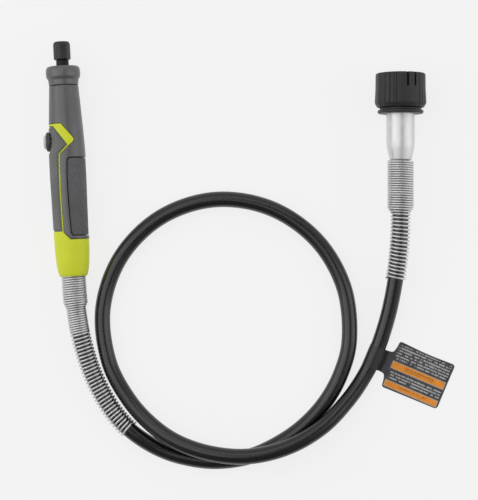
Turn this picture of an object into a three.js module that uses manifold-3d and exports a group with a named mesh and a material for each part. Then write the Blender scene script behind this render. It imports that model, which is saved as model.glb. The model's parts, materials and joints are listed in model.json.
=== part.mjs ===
// Rotary tool handpiece with a flexible drive shaft, lying flat on a surface.
// Millimetres, +Z up. The handpiece's nose and the coupling's open end both point to about +Y,
// +X is from the handpiece towards the coupling, and the origin is on the surface under the middle.
import * as THREE from 'three';
import { mergeVertices } from 'three/addons/utils/BufferGeometryUtils.js';
import Module from 'manifold-3d';

const wasm = await Module();
wasm.setup();

// ---------------------------------------------------------------- driving dimensions
const GAP = 0.3; // between parts that touch in life
const HAND_ORIGIN = [-97.5, -22.9, 11.1]; // centre of the tail opening of the handpiece
const HAND_LEAN = THREE.MathUtils.degToRad(3); // handpiece axis, turned from +Y towards -X
const COUPLING_X = 99.67;
const COUPLING_Z = 15.65;

// Handpiece outline along its own axis: [distance from the tail end, radius].
const BODY = [
  [0.6, 8.2], [1.6, 8.65], [4.2, 9.3], [8.6, 9.95], [17.5, 10.45], [25, 10.65], [32, 10.72],
  [46.6, 10.92], [60, 11.1], [71, 11.05], [76, 10.95], [90.2, 10.35], [97.5, 9.9], [104.7, 9.5],
  [110, 9.15], [115.6, 8.85],
];
const COVER_WALL = 1.6;
const SPIGOT_RADIUS = 7.0;
const SPIGOT_END = 124;
const BODY_SEGMENTS = 36;

// Outlines seen from above in the handpiece's frame; each is mirrored below by running right through.
const PANEL_OUTLINE = [
  [-20, 27.7], [-4.35, 27.7], [-4.65, 37.5], [-4.8, 52.7], [-4.4, 70.6], [-4.2, 74.25],
  [1.4, 79.6], [-7.3, 91.35], [-20, 91.35],
];
const ACCENT_OUTLINE = [
  [-20, -2], [20, -2], [20, 22.7], [0.4, 22.7], [-3.7, 26.9], [-4.0, 37.5], [-4.15, 52.7],
  [-3.75, 70.4], [-3.55, 74.0], [2.1, 79.1], [4.7, 81.3], [5.3, 82.6], [4.8, 83.9],
  [-1.9, 92.2], [-2.6, 92.5], [-20, 92.5],
];
const PAD_OUTLINE = [
  [2.4, 25.2], [20, 25.2], [20, 71.7], [2.6, 71.7], [1.4, 71.3], [0.8, 70.2], [0.65, 68],
  [0.2, 60], [0.35, 45], [0.85, 32.4], [1.15, 27.0], [1.6, 25.7],
];
const PANEL_MARGIN = 1.1; // sunk border of the panel
const ARROW_RECESS = [[-20, 88.6], [-9.4, 88.6], [-4.7, 81.8], [-9.4, 75.0], [-20, 75.0]];

const BEARING = { bore: 3.0, innerLand: 3.6, outerLand: 5.6, outside: 6.2, width: 5, pitch: 4.6, ball: 0.7 };
const BEARING_STARTS = { rear: 36, front: 117 };
const BALL_COUNT = 6;

const BUTTON_Y = 82.3;
const BUTTON_RADIUS = 4.4;
const SCREWS = [[6.0, 100], [6.8, 82], [7.0, 18.6], [-7.0, 18.6]];

// Coupling stations along +Y.
const TUBE_START = 47.6;
const NUT_BACK = 79.1;
const NUT_FRONT = 99.7;
const NUT_RADIUS = 15.6;
const NUT_CAVITY = 11.4;
const NUT_GROOVES_DEG = [42.7, 52.4, 62.8, 119, 137.5, 150, 159.7, 165.9]; // repeated every half turn
const NUT_SLOTS_DEG = [11.8, 30.6];

// Flexible shaft: centreline from inside the handpiece, round one full loop, into the coupling.
const SHAFT_ROUTE = [
  [-98.4, -4.9, 11.1], [-97.5, -22.9, 11.1], [-96.4, -38.6, 10.7], [-93.9, -56.2, 9.6],
  [-91.9, -64.7, 8.8], [-87.4, -79.3, 7.5], [-80.9, -93.5, 6.9], [-73.4, -105.3, 6.6],
  [-67.2, -112.6, 6.55], [-59.3, -119.4, 6.2], [-46.9, -127.0, 5.1], [-33.4, -132.0, 4.8],
  [-12.8, -135.0, 4.8], [8.1, -132.3, 4.8], [26.8, -124.0, 4.8], [42.6, -112.7, 4.8],
  [55.8, -97.8, 4.8], [64.8, -80.7, 4.8], [69.5, -61.9, 4.8], [66.2, -29.1, 4.8],
  [49.6, -0.5, 4.8], [21.5, 18.9, 4.8], [-12.5, 24.1, 4.8], [-45.1, 13.4, 4.8],
  [-69.3, -10.5, 4.8], [-80.3, -42.0, 4.8], [-76.6, -74.5, 5.3], [-65.1, -96.4, 7.0],
  [-52.3, -110.7, 9.6], [-36.6, -121.7, 12.6], [-15.7, -128.9, 15.0], [8.0, -130.8, 15.6],
  [32.1, -125.2, 14.6], [52.8, -113.5, 11.6], [68.3, -97.9, 7.6], [78.1, -84.0, 5.6],
  [85.3, -69.7, 5.5], [92.8, -46.6, 7.4], [97.5, -21.1, 11.0], [99.5, 1.9, 14.4],
  [99.67, 20.5, 15.6], [99.67, 47.6, 15.65], [99.67, 64, 15.65],
];
const HOSE_RADIUS = 4.7;
const HOSE_BORE = 2.9;
const CABLE_RADIUS = 1.7;
const WIRE_RADIUS = 0.55;
const COIL_RADIUS = 5.8; // mean radius of the open coils
const TAIL_COIL_RADIUS = 6.9; // mean radius of the close coils at the handpiece
const HEAD_COIL_RADIUS = 7.45; // mean radius of the close coils at the coupling

// Tag: hangs on the shaft by a film sleeve.
const TAG_CENTRE = [84.4, -71.5, 5.5];
const TAG_TURN = THREE.MathUtils.degToRad(-23);
const TAG_FILM = 0.5;

// ---------------------------------------------------------------- materials
function material(color, roughness, metalness = 0) {
  return new THREE.MeshStandardMaterial({ color, roughness, metalness });
}
const GREY = material(0x5f6063, 0.55);
const LIME = material(0xb9c63c, 0.45);
const RUBBER = material(0x55555b, 0.9);
const DARK = material(0x38383a, 0.5);
const BLACK = material(0x1f1f21, 0.6);
const STEEL = material(0xb9babc, 0.3, 1);
const POLISHED = material(0xd9dadb, 0.12, 1);
const BLACKENED = material(0x2c2c2e, 0.4, 0.9);
const BRASS = material(0xb08a4a, 0.35, 1);
const FILM = material(0x48484c, 0.5);

// ---------------------------------------------------------------- solids
// A closed three.js geometry as a manifold solid with its faces outward.
function solid(geometry) {
  const source = geometry.index ? geometry.toNonIndexed() : geometry;
  const bare = new THREE.BufferGeometry();
  bare.setAttribute('position', source.getAttribute('position'));
  const merged = mergeVertices(bare, 1e-4);
  const index = merged.index.array;
  const kept = [];
  for (let i = 0; i < index.length; i += 3) {
    const [a, b, c] = [index[i], index[i + 1], index[i + 2]];
    if (a !== b && b !== c && a !== c) kept.push(a, b, c);
  }
  const made = fromTriangles(merged.attributes.position.array, kept);
  if (made.volume() >= 0) return made;
  for (let i = 0; i < kept.length; i += 3) [kept[i + 1], kept[i + 2]] = [kept[i + 2], kept[i + 1]];
  return fromTriangles(merged.attributes.position.array, kept);
}

function fromTriangles(vertProperties, triangles) {
  const triVerts = new Uint32Array(triangles);
  return new wasm.Manifold(new wasm.Mesh({ numProp: 3, vertProperties, triVerts }));
}

// A manifold solid as a flat-shaded three.js geometry.
function geometryOf(made) {
  const { vertProperties, numProp, triVerts } = made.getMesh();
  const positions = new Float32Array(triVerts.length * 3);
  triVerts.forEach((vertex, i) => {
    for (let axis = 0; axis < 3; axis += 1) positions[i * 3 + axis] = vertProperties[vertex * numProp + axis];
  });
  const geometry = new THREE.BufferGeometry();
  geometry.setAttribute('position', new THREE.BufferAttribute(positions, 3));
  geometry.computeVertexNormals();
  return geometry;
}

// A profile of [radius, height] points, closed on the Y axis or on itself, turned about Y.
function revolve(profile, segments = 24) {
  const points = [...profile, profile[0]].map(([radius, height]) => new THREE.Vector2(radius, height));
  return solid(new THREE.LatheGeometry(points, segments));
}

// A ring of rectangular section about Y.
function ring(inner, outer, low, high, segments = 20) {
  return revolve([[inner, low], [outer, low], [outer, high], [inner, high]], segments);
}

// A solid cylinder about Y.
function rod(radius, low, high, segments = 20) {
  return revolve([[0, low], [radius, low], [radius, high], [0, high]], segments);
}

// An outline in X and Y, extruded from low to high along Z.
function prism(outline, low, high) {
  const shape = new THREE.Shape(outline.map(([x, y]) => new THREE.Vector2(x, y)));
  const geometry = new THREE.ExtrudeGeometry(shape, { depth: high - low, bevelEnabled: false });
  return solid(geometry.translate(0, 0, low));
}

function box(low, high) {
  const size = high.map((value, i) => value - low[i]);
  const middle = high.map((value, i) => (value + low[i]) / 2);
  return solid(new THREE.BoxGeometry(...size).translate(...middle));
}

// A round bar along Z or X, from low to high.
function bar(axis, centre, radius, low, high, segments = 16) {
  const geometry = new THREE.CylinderGeometry(radius, radius, high - low, segments);
  if (axis === 'z') {
    geometry.rotateX(Math.PI / 2).translate(centre[0], centre[1], (low + high) / 2);
  } else {
    geometry.rotateZ(Math.PI / 2).translate((low + high) / 2, centre[0], centre[1]);
  }
  return solid(geometry);
}

// The outline grown outwards by a distance; its points run anticlockwise.
function grown(outline, distance) {
  return outline.map((point, i) => {
    const before = outline[(i + outline.length - 1) % outline.length];
    const after = outline[(i + 1) % outline.length];
    const normals = [[before, point], [point, after]].map(([from, to]) => {
      const length = Math.hypot(to[0] - from[0], to[1] - from[1]);
      return [(to[1] - from[1]) / length, (from[0] - to[0]) / length];
    });
    const sum = [normals[0][0] + normals[1][0], normals[0][1] + normals[1][1]];
    const scale = (2 * distance) / (sum[0] ** 2 + sum[1] ** 2);
    return [point[0] + sum[0] * scale, point[1] + sum[1] * scale];
  });
}

const minus = (a, ...others) => others.reduce((left, b) => left.subtract(b), a);
const plus = (a, ...others) => others.reduce((left, b) => left.add(b), a);
const common = (a, b) => a.intersect(b);

function named(name, made, look) {
  const geometry = made.isBufferGeometry ? made : geometryOf(made);
  const mesh = new THREE.Mesh(geometry, look);
  mesh.name = name;
  return mesh;
}

// ---------------------------------------------------------------- handpiece shell
// Closed profile between two offsets below the handpiece outline.
function bodyProfile(low, high, outerDrop, innerDrop) {
  const stations = [low, ...BODY.map(([y]) => y).filter((y) => y > low && y < high), high];
  const outer = stations.map((y) => [bodyRadius(y) - outerDrop, y]);
  const inner = innerDrop === null ? [[0, high], [0, low]]
    : stations.map((y) => [bodyRadius(y) - innerDrop, y]).reverse();
  return [...outer, ...inner];
}

function bodyRadius(y) {
  const above = BODY.findIndex(([station]) => station >= y);
  if (above <= 0) return BODY[0][1];
  const [y0, r0] = BODY[above - 1];
  const [y1, r1] = BODY[above];
  return r0 + ((y - y0) / (y1 - y0)) * (r1 - r0);
}

const FULL = 20; // beyond the handpiece on every side
const UPPER_HALF = box([-FULL, -5, GAP / 2], [FULL, 150, FULL]);
const LOWER_HALF = box([-FULL, -5, -FULL], [FULL, 150, -GAP / 2]);

function screwCut(seat, shank) {
  const cuts = SCREWS.map(([x, y]) => plus(
    bar('z', [x, y], seat, -FULL, -4.2),
    bar('z', [x, y], shank, -FULL, 3.0),
  ));
  return plus(...cuts);
}

function housingHalves() {
  const core = revolve([
    ...bodyProfile(0.6, 112, COVER_WALL + GAP, null).slice(0, -2),
    [SPIGOT_RADIUS, 112], [SPIGOT_RADIUS, SPIGOT_END - 0.6], [SPIGOT_RADIUS - 0.5, SPIGOT_END],
    [0, SPIGOT_END], [0, 0.6],
  ], BODY_SEGMENTS);
  const proud = minus(
    common(revolve(bodyProfile(0.6, 95, 0, null), BODY_SEGMENTS), prism(ACCENT_OUTLINE, -FULL, FULL)),
    prism(PANEL_OUTLINE, -FULL, FULL),
  );
  const bore = revolve([
    [0, -2], [7.75, -2], [7.75, 11.5], [8.5, 11.5], [8.5, 15.3], [5.65, 15.3], [5.65, 20.5],
    [4.6, 20.5], [4.6, 35.6], [6.5, 35.6], [6.5, 41.4], [4.6, 41.4], [4.6, 116.6],
    [6.5, 116.6], [6.5, 126], [0, 126],
  ], 24);
  const buttonWay = plus(
    bar('x', [BUTTON_Y, 0], BUTTON_RADIUS + 0.4, -FULL, -7.5),
    bar('x', [BUTTON_Y, 0], 1.3, -8, -3),
  );
  const whole = minus(plus(core, proud), bore, buttonWay, screwCut(1.9, 1.1));
  return [common(whole, UPPER_HALF), common(whole, LOWER_HALF)];
}

function coverHalves() {
  const shell = revolve(bodyProfile(22.9, 115.6, 0, COVER_WALL), BODY_SEGMENTS);
  const whole = minus(
    shell,
    prism(grown(ACCENT_OUTLINE, GAP), -FULL, FULL),
    prism(grown(PAD_OUTLINE, GAP), -FULL, FULL),
    screwCut(1.9, 1.1),
  );
  return [common(whole, UPPER_HALF), common(whole, LOWER_HALF)];
}

function buttonPanel() {
  const shell = revolve(bodyProfile(27, 93, 0, COVER_WALL), BODY_SEGMENTS);
  const arrow = common(
    revolve(bodyProfile(70, 92, -1, 0.45), BODY_SEGMENTS),
    prism(ARROW_RECESS, -FULL, FULL),
  );
  const margin = minus(
    prism(PANEL_OUTLINE, -FULL, FULL),
    prism(grown(PANEL_OUTLINE, -PANEL_MARGIN), -FULL, FULL),
  );
  const rim = common(revolve(bodyProfile(26, 93, -1, 0.5), BODY_SEGMENTS), margin);
  return minus(
    common(shell, prism(grown(PANEL_OUTLINE, -GAP), -FULL, FULL)),
    rim,
    arrow,
    bar('x', [BUTTON_Y, 0], 6.2, -FULL, 0, 24),
  );
}

function gripPad() {
  const shell = revolve(bodyProfile(24.5, 73, 0.3, COVER_WALL), BODY_SEGMENTS);
  return common(shell, prism(PAD_OUTLINE, -FULL, FULL));
}

function noseCap() {
  return revolve([
    [7.35, 116], [8.85, 116], [8.95, 116.3], [9.1, 119.2], [9.5, 120.0], [10.1, 120.8],
    [10.35, 121.9], [10.3, 125.4], [9.9, 126.6], [9.1, 127.3], [4.2, 127.3], [4.2, 124.3],
    [7.35, 124.3],
  ], 30);
}

function screw(x, y) {
  const head = bar('z', [x, y], 1.55, -5.9, -4.5, 12);
  const cross = plus(
    box([x - 1, y - 0.25, -7], [x + 1, y + 0.25, -5.4]),
    box([x - 0.25, y - 1, -7], [x + 0.25, y + 1, -5.4]),
  );
  return minus(plus(head, bar('z', [x, y], 0.8, -5, 2.6, 8)), cross);
}

// ---------------------------------------------------------------- lock button
function lockButton() {
  const cap = solid(new THREE.LatheGeometry([
    [0, -13.7], [3.0, -13.6], [3.9, -13.2], [BUTTON_RADIUS, -12.5], [BUTTON_RADIUS, -10.7],
    [1.5, -10.7], [1.5, -9.3], [0.85, -9.3], [0.85, -4.6], [0, -4.6], [0, -13.7],
  ].map(([radius, along]) => new THREE.Vector2(radius, along)), 24));
  return cap.rotate([0, 0, -90]).translate([0, BUTTON_Y, 0]);
}

function buttonBezel() {
  const made = revolve([[4.75, -11.9], [5.5, -11.9], [5.9, -11.4], [5.9, -9.6], [4.75, -9.6]], 24);
  return made.rotate([0, 0, -90]).translate([0, BUTTON_Y, 0]);
}

class CoilLine extends THREE.Curve {
  constructor(radius, turns, low, high) {
    super();
    Object.assign(this, { radius, turns, low, high });
  }

  getPoint(t) {
    const angle = t * this.turns * Math.PI * 2;
    const along = this.low + t * (this.high - this.low);
    return new THREE.Vector3(along, BUTTON_Y + this.radius * Math.cos(angle), this.radius * Math.sin(angle));
  }
}

function lockSpring() {
  const path = new CoilLine(2.6, 2.5, -10.2, -7.95);
  return wire(path, 0.22, 25, 4);
}

// ---------------------------------------------------------------- drive train in the handpiece
function spindle() {
  const body = revolve([
    [0, 22], [2.7, 22], [2.7, 34.2], [2.2, 34.2], [2.2, 35.6], [2.7, 35.6], [2.7, 122.5],
    [3.8, 122.5], [3.8, 131.0], [3.4, 131.2], [3.4, 137.2], [3.1, 137.5], [2.7, 137.5],
    [2.7, 125.3], [0, 125.3],
  ], 20);
  return minus(body, rod(CABLE_RADIUS + 0.4, 21, 31.5));
}

function lockCollar() {
  const holes = plus(
    bar('x', [BUTTON_Y, 0], 1.15, -6, 6),
    bar('z', [0, BUTTON_Y], 1.15, -6, 6),
  );
  return minus(ring(3.0, 4.25, 77, 86), holes);
}

function collet() {
  const body = revolve([
    [1.6, 126], [2.4, 126], [2.4, 137.7], [3.0, 138.9], [2.2, 141.7], [1.6, 141.7],
  ], 20);
  return minus(
    body,
    box([-0.25, 130, -5], [0.25, 145, 5]),
    box([-5, 130, -0.25], [5, 145, 0.25]),
  );
}

function colletNut() {
  const turned = revolve([
    [3.7, 131.4], [4.9, 131.4], [5.4, 132.0], [5.4, 140.9], [4.6, 142.3], [2.5, 142.3],
    [2.55, 142.0], [3.55, 138.0], [3.7, 138.0],
  ], 24);
  const corners = [8, 68, 128, 188, 248, 308].map((degrees) => {
    const angle = THREE.MathUtils.degToRad(degrees + 30);
    return [5.35 * Math.sin(angle), 5.35 * Math.cos(angle)];
  });
  const hexagon = prism(corners, -144, -130).rotate([90, 0, 0]);
  return common(turned, hexagon);
}

function bearing(place) {
  const low = BEARING_STARTS[place];
  const high = low + BEARING.width;
  const middle = (low + high) / 2;
  const balls = Array.from({ length: BALL_COUNT }, (unused, i) => {
    const angle = (i * 2 * Math.PI) / BALL_COUNT;
    const ball = new THREE.SphereGeometry(BEARING.ball, 6, 4);
    ball.translate(BEARING.pitch * Math.cos(angle), middle, BEARING.pitch * Math.sin(angle));
    return solid(ball);
  });
  const cage = ring(BEARING.pitch - 0.3, BEARING.pitch + 0.3, middle - 0.45, middle + 0.45, 18);
  return [
    named(`${place}_bearing_outer_ring`, ring(BEARING.outerLand, BEARING.outside, low, high), STEEL),
    named(`${place}_bearing_inner_ring`, ring(BEARING.bore, BEARING.innerLand, low, high), STEEL),
    named(`${place}_bearing_cage`, plus(cage, ...balls), BRASS),
  ];
}

function tailFerrule() {
  return revolve([
    [5.0, -5], [5.45, -5], [5.45, 12], [8.2, 12], [8.2, 15], [5.35, 15], [5.35, 20], [5.0, 20],
  ]);
}

function handpiece() {
  const group = new THREE.Group();
  group.position.set(...HAND_ORIGIN);
  group.rotation.z = HAND_LEAN;
  const [housingTop, housingBottom] = housingHalves();
  const [coverTop, coverBottom] = coverHalves();
  group.add(
    named('housing_top', housingTop, LIME),
    named('housing_bottom', housingBottom, LIME),
    named('cover_top', coverTop, GREY),
    named('cover_bottom', coverBottom, GREY),
    named('button_panel', buttonPanel(), RUBBER),
    named('grip_pad', gripPad(), RUBBER),
    named('nose_cap', noseCap(), GREY),
    named('lock_button', lockButton(), GREY),
    named('button_bezel', buttonBezel(), BLACK),
    named('lock_spring', lockSpring(), STEEL),
    named('spindle', spindle(), BLACKENED),
    named('lock_collar', lockCollar(), STEEL),
    named('spacer_rear', ring(3.0, 3.7, 41.3, 76.7, 16), STEEL),
    named('spacer_front', ring(3.0, 3.7, 86.3, 116.7, 16), STEEL),
    named('circlip', ring(2.5, 3.6, 34.5, 35.3, 16), BLACKENED),
    named('collet', collet(), STEEL),
    named('collet_nut', colletNut(), BLACKENED),
    named('tail_ferrule', tailFerrule(), STEEL),
    ...bearing('rear'),
    ...bearing('front'),
    ...SCREWS.map(([x, y], i) => named(`housing_screw_${i + 1}`, screw(x, y), BLACKENED)),
  );
  return group;
}

// ---------------------------------------------------------------- flexible shaft
const route = new THREE.CatmullRomCurve3(
  SHAFT_ROUTE.map((point) => new THREE.Vector3(...point)),
  false,
  'centripetal',
);
route.arcLengthDivisions = 1500;

function circle(radius, sides, turned = 0) {
  return Array.from({ length: sides }, (unused, i) => {
    const angle = turned + (i * 2 * Math.PI) / sides;
    return new THREE.Vector2(radius * Math.cos(angle), radius * Math.sin(angle));
  });
}

// A round wire along a path, with flat ends.
function wire(path, radius, steps, sides) {
  path.arcLengthDivisions = steps * 2;
  return new THREE.ExtrudeGeometry(new THREE.Shape(circle(radius, sides)), {
    steps,
    extrudePath: path,
    bevelEnabled: false,
  });
}

// The coils of a bend spring, wound round the shaft from one place on it to another.
class WoundPath extends THREE.Curve {
  constructor(start, direction, windings) {
    super();
    Object.assign(this, { start, direction, windings });
    this.turns = windings.reduce((sum, winding) => sum + winding.turns, 0);
  }

  getPoint(t) {
    let left = t * this.turns;
    let along = 0;
    let radius = this.windings[0].from;
    for (const { turns, pitch, from, to } of this.windings) {
      const used = Math.min(left, turns);
      along += used * pitch;
      radius = from + (to - from) * (used / turns);
      left -= used;
      if (left <= 0) break;
    }
    const u = (this.start + this.direction * along) / route.getLength();
    const centre = route.getPointAt(u);
    const tangent = route.getTangentAt(u);
    const side = new THREE.Vector3(0, 0, 1).cross(tangent).normalize();
    const up = tangent.clone().cross(side);
    const angle = t * this.turns * Math.PI * 2;
    return centre
      .addScaledVector(side, radius * Math.cos(angle))
      .addScaledVector(up, radius * Math.sin(angle));
  }
}

function bendSpring(start, direction, windings) {
  const path = new WoundPath(start, direction, windings);
  return wire(path, WIRE_RADIUS, Math.round(path.turns * 8), 3);
}

function handpieceSpring() {
  const r = TAIL_COIL_RADIUS;
  return bendSpring(17, 1, [
    { turns: 12, pitch: 1.4, from: r, to: r },
    { turns: 2, pitch: 1.4, from: r, to: COIL_RADIUS },
    { turns: 11, pitch: 1.4, from: COIL_RADIUS, to: COIL_RADIUS },
    { turns: 30, pitch: 2.24, from: COIL_RADIUS, to: COIL_RADIUS },
  ]);
}

function couplingSpring() {
  const r = HEAD_COIL_RADIUS;
  return bendSpring(route.getLength() - 17.2, -1, [
    { turns: 20, pitch: 1.4, from: r, to: r },
    { turns: 2, pitch: 1.5, from: r, to: COIL_RADIUS },
    { turns: 18, pitch: 2.24, from: COIL_RADIUS, to: COIL_RADIUS },
  ]);
}

function hoseSheath() {
  const section = new THREE.Shape(circle(HOSE_RADIUS, 10));
  section.holes.push(new THREE.Path(circle(HOSE_BORE, 4)));
  return new THREE.ExtrudeGeometry(section, { steps: 84, extrudePath: route, bevelEnabled: false });
}

// The cable runs on past both ends of the sheath, into the spindle and the drive tip.
function driveCable() {
  const ends = [[-99.05, 7.6, 11.1], [99.67, 71.5, 15.65]];
  const inner = SHAFT_ROUTE.slice(1, -1);
  const points = [ends[0], ...inner, ends[1]].map((point) => new THREE.Vector3(...point));
  const path = new THREE.CatmullRomCurve3(points, false, 'centripetal');
  path.arcLengthDivisions = 1500;
  return new THREE.ExtrudeGeometry(new THREE.Shape(circle(CABLE_RADIUS, 4)), {
    steps: 84,
    extrudePath: path,
    bevelEnabled: false,
  });
}

// ---------------------------------------------------------------- tag
function warningTag() {
  const film = 5.4; // outside radius of the sleeve round the shaft
  const halfNeck = 6.7;
  const corner = 2.2;
  const plate = [
    [0, -halfNeck], [7.2, -halfNeck], [9.4, -halfNeck - 0.9], [10.9, -halfNeck - 3.2], [11.2, -12.8],
    [11.9, -14.5], [13.4, -15.0], [48.2 - corner, -15.0], [47.6, -14.4], [48.2, -15 + corner],
    [48.2, 15 - corner], [47.6, 14.4], [48.2 - corner, 15], [13.4, 15.0], [11.9, 14.5],
    [11.2, 12.8], [10.9, halfNeck + 3.2], [9.4, halfNeck + 0.9], [7.2, halfNeck], [0, halfNeck],
  ];
  const flat = prism(plate, -film, -film + TAG_FILM);
  const sleeve = ring(film - 0.4, film, -halfNeck, halfNeck, 20);
  const degrees = THREE.MathUtils.radToDeg(TAG_TURN);
  const opening = rod(film - 0.4, -halfNeck - 1, halfNeck + 1, 20);
  return plus(minus(flat, opening), sleeve).rotate([0, 0, degrees]).translate(TAG_CENTRE);
}

// ---------------------------------------------------------------- coupling
function couplingTube() {
  return revolve([
    [5.05, TUBE_START], [6.3, TUBE_START], [6.7, TUBE_START + 0.4], [8.55, 56.1], [8.55, 82.8],
    [10.7, 82.8], [10.7, 84.9], [4.9, 84.9], [4.9, 75.6], [3.6, 75.6], [3.6, 65], [5.05, 65],
  ]);
}

function couplingCollar() {
  return revolve([
    [8.85, 75.6], [13.3, 75.6], [13.8, 76.0], [13.8, 77.2], [13.4, 77.6], [12.4, 77.6],
    [12.4, 78.8], [8.85, 78.8],
  ], 28);
}

// Outline of the nut across its axis: shallow grooves, the same in each half.
function nutOutline() {
  const points = [];
  for (let half = 0; half < 2; half += 1) {
    NUT_GROOVES_DEG.forEach((degrees) => {
      [[-1.6, 0], [0, 0.55], [1.6, 0]].forEach(([turn, depth]) => {
        const angle = THREE.MathUtils.degToRad(180 * half + degrees + turn);
        const radius = NUT_RADIUS - depth;
        points.push([radius * Math.sin(angle), radius * Math.cos(angle)]);
      });
    });
    [0, 11, 22, 33, 73, 84, 95, 107, 173].forEach((degrees) => {
      const angle = THREE.MathUtils.degToRad(180 * half + degrees);
      points.push([NUT_RADIUS * Math.sin(angle), NUT_RADIUS * Math.cos(angle)]);
    });
  }
  return points.sort((a, b) => Math.atan2(a[1], a[0]) - Math.atan2(b[1], b[0]));
}

function couplingNut() {
  const turned = revolve([
    [8.9, NUT_BACK], [13.6, NUT_BACK], [15.6, 81.6], [15.1, 90], [15.0, 99.1],
    [14.5, NUT_FRONT], [NUT_CAVITY + 0.3, NUT_FRONT], [NUT_CAVITY, NUT_FRONT - 0.4],
    [NUT_CAVITY, 96.4], [10.9, 95.6], [NUT_CAVITY, 94.8],
    [NUT_CAVITY, 82.4], [8.9, 82.4],
  ], 28);
  const fluted = prism(nutOutline(), -NUT_FRONT - 1, -NUT_BACK + 1).rotate([90, 0, 0]);
  const slots = NUT_SLOTS_DEG.flatMap((degrees) => [degrees, degrees + 180]).map((degrees) => (
    box([-0.65, 91.2, 12.1], [0.65, NUT_FRONT + 1, 17]).rotate([0, degrees, 0])
  ));
  return minus(common(turned, fluted), ...slots);
}

function driveTip() {
  return revolve([
    [2.2, 67], [2.9, 67], [2.9, 75.2], [1.6, 75.2], [1.6, 99.1], [1.2, 99.6], [0, 99.6],
    [0, 72.3], [2.2, 72.3],
  ], 20);
}

function coupling() {
  const group = new THREE.Group();
  group.position.set(COUPLING_X, 0, COUPLING_Z);
  group.add(
    named('coupling_tube', couplingTube(), POLISHED),
    named('coupling_collar', couplingCollar(), DARK),
    named('coupling_nut', couplingNut(), DARK),
    named('drive_tip', driveTip(), STEEL),
    named('tip_bush', ring(1.95, 4.6, 76, 84.4, 16), BRASS),
  );
  return group;
}

const object = new THREE.Group();
object.add(
  handpiece(),
  named('handpiece_spring', handpieceSpring(), STEEL),
  named('hose_sheath', hoseSheath(), BLACK),
  named('drive_cable', driveCable(), STEEL),
  named('coupling_spring', couplingSpring(), STEEL),
  named('warning_tag', warningTag(), FILM),
  coupling(),
);

export default object;
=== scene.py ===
"""Rotary tool handpiece on a flexible drive shaft, lying on a pale surface and seen from above."""
import json
import math

import bpy
import numpy as np
from mathutils import Matrix, Vector, kdtree
from mathutils.geometry import delaunay_2d_cdt


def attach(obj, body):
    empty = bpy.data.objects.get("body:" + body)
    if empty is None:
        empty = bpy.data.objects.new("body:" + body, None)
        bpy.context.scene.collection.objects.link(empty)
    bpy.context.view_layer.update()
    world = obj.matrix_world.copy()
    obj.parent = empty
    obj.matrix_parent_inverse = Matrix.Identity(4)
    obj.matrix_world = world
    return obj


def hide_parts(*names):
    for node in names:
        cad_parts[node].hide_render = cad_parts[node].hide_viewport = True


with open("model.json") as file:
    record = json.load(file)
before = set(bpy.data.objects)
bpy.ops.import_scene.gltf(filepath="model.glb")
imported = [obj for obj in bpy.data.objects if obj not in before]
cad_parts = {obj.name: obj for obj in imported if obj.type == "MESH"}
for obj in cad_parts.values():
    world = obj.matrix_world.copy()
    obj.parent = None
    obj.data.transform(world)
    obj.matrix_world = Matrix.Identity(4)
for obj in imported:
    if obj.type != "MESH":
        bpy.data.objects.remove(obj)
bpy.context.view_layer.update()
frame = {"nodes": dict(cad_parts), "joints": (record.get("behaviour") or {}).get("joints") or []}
scene = bpy.context.scene
MM = 0.001


# ---------- frames of the two ends
def joint(name):
    return next(j for j in frame["joints"] if j["name"] == name)


def axes_at(origin, along):
    """Local +Y along the axis, +Z up, +X to the right, in millimetres."""
    side = along.cross(Vector((0, 0, 1))).normalized()
    up = side.cross(along)
    turn = Matrix((side, along, up)).transposed().to_4x4()
    return Matrix.Translation(origin) @ turn @ Matrix.Scale(MM, 4)


SPIN_STATION = 80  # the spindle joint's place along the handpiece, from its tail end
spindle_axis = Vector(joint("spindle_spin")["axis"]).normalized()
HAND = axes_at(Vector(joint("spindle_spin")["pos_m"]) - spindle_axis * SPIN_STATION * MM, spindle_axis)
nut_joint = Vector(joint("coupling_nut_spin")["pos_m"])
COUPLING = axes_at(Vector((nut_joint.x, 0, nut_joint.z)), Vector((0, 1, 0)))
tag_axis = -Vector(joint("tag_swing")["axis"]).normalized()
TAG = axes_at(Vector(joint("tag_swing")["pos_m"]), tag_axis)
WORLD_MM = Matrix.Scale(MM, 4)

# ---------- camera
CAMERA_HEIGHT = 1.05
CAMERA_SPOT = (0.00244, -0.00654)
VIEW_HEIGHT = 0.3055  # what the picture's height covers on the surface

camera_data = bpy.data.cameras.new("camera")
camera_data.sensor_fit = "VERTICAL"
camera_data.angle_y = 2 * math.atan(VIEW_HEIGHT / 2 / CAMERA_HEIGHT)
camera_data.clip_start = 0.01
camera = bpy.data.objects.new("camera", camera_data)
camera.location = (*CAMERA_SPOT, CAMERA_HEIGHT)
scene.collection.objects.link(camera)
scene.camera = camera


# ---------- materials
def nodes_of(name):
    """A new material, its node tree and its shader."""
    material = bpy.data.materials.new(name)
    material.use_nodes = True
    tree = material.node_tree
    return material, tree, tree.nodes["Principled BSDF"]


def link(tree, source, target):
    tree.links.new(source, target)


def math_node(tree, operation, a, b=None):
    node = tree.nodes.new("ShaderNodeMath")
    node.operation = operation
    for socket, value in zip(node.inputs, (a, b)):
        if value is None:
            continue
        if isinstance(value, (int, float)):
            socket.default_value = value
        else:
            link(tree, value, socket)
    return node.outputs[0]


def noise(tree, vector, scale, detail=3.0):
    node = tree.nodes.new("ShaderNodeTexNoise")
    node.inputs["Scale"].default_value = scale
    node.inputs["Detail"].default_value = detail
    node.inputs["Roughness"].default_value = 0.55
    link(tree, vector, node.inputs["Vector"])
    return node.outputs["Fac"]


def ranged(tree, value, low, high, start=0.3, end=0.7):
    node = tree.nodes.new("ShaderNodeMapRange")
    link(tree, value, node.inputs["Value"])
    for socket, number in (("From Min", start), ("From Max", end), ("To Min", low), ("To Max", high)):
        node.inputs[socket].default_value = number
    return node.outputs["Result"]


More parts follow.
